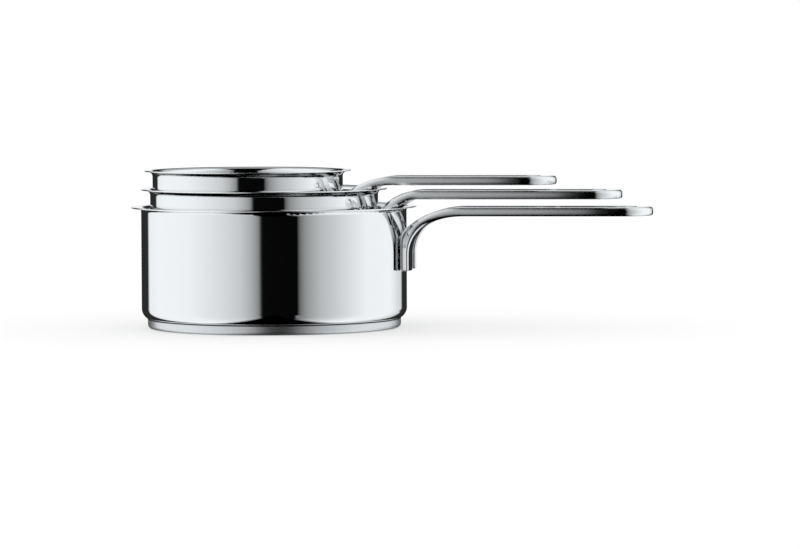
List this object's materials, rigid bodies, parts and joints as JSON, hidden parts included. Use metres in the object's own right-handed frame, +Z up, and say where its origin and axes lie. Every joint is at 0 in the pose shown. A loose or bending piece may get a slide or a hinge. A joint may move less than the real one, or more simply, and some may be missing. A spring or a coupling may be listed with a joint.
{
  "type": "nested saucepan set",
  "caption": "Nested stainless steel saucepans with flared pouring rims, welded loop handles of bent bar and heat-spreading bases; each smaller pan stands in the next and lifts out.",
  "frame": {"origin": "centre of the largest pan's resting face", "axes": "+Z up along the pans' axes, +X from the pans' axes out along the handles"},
  "size_m": [0.278, 0.152, 0.0839],
  "materials": {
    "polished_steel": "mirror-polished stainless steel",
    "satin_steel": "satin, turned in circles",
    "handle_steel": "polished stainless steel",
    "core_aluminium": "pressed, sealed in",
    "weld_steel": "heat-tinted weld"
  },
  "bodies": {
    "large_pan": {"large_bowl": "polished_steel", "large_base_core": "core_aluminium", "large_base_cap": "satin_steel", "large_handle": "handle_steel", "large_handle_welds": "weld_steel"},
    "medium_pan": {"medium_bowl": "polished_steel", "medium_base_core": "core_aluminium", "medium_base_cap": "satin_steel", "medium_handle": "handle_steel", "medium_handle_welds": "weld_steel"},
    "small_pan": {"small_bowl": "polished_steel", "small_base_core": "core_aluminium", "small_base_cap": "satin_steel", "small_handle": "handle_steel", "small_handle_welds": "weld_steel"}
  },
  "joints": [
    {"name": "lift_medium_pan", "type": "slide", "parent": "large_pan", "child": "medium_pan", "axis": [0, 0, 1], "range_m": [0, 0.075]},
    {"name": "lift_small_pan", "type": "slide", "parent": "medium_pan", "child": "small_pan", "axis": [0, 0, 1], "range_m": [0, 0.08]}
  ]
}
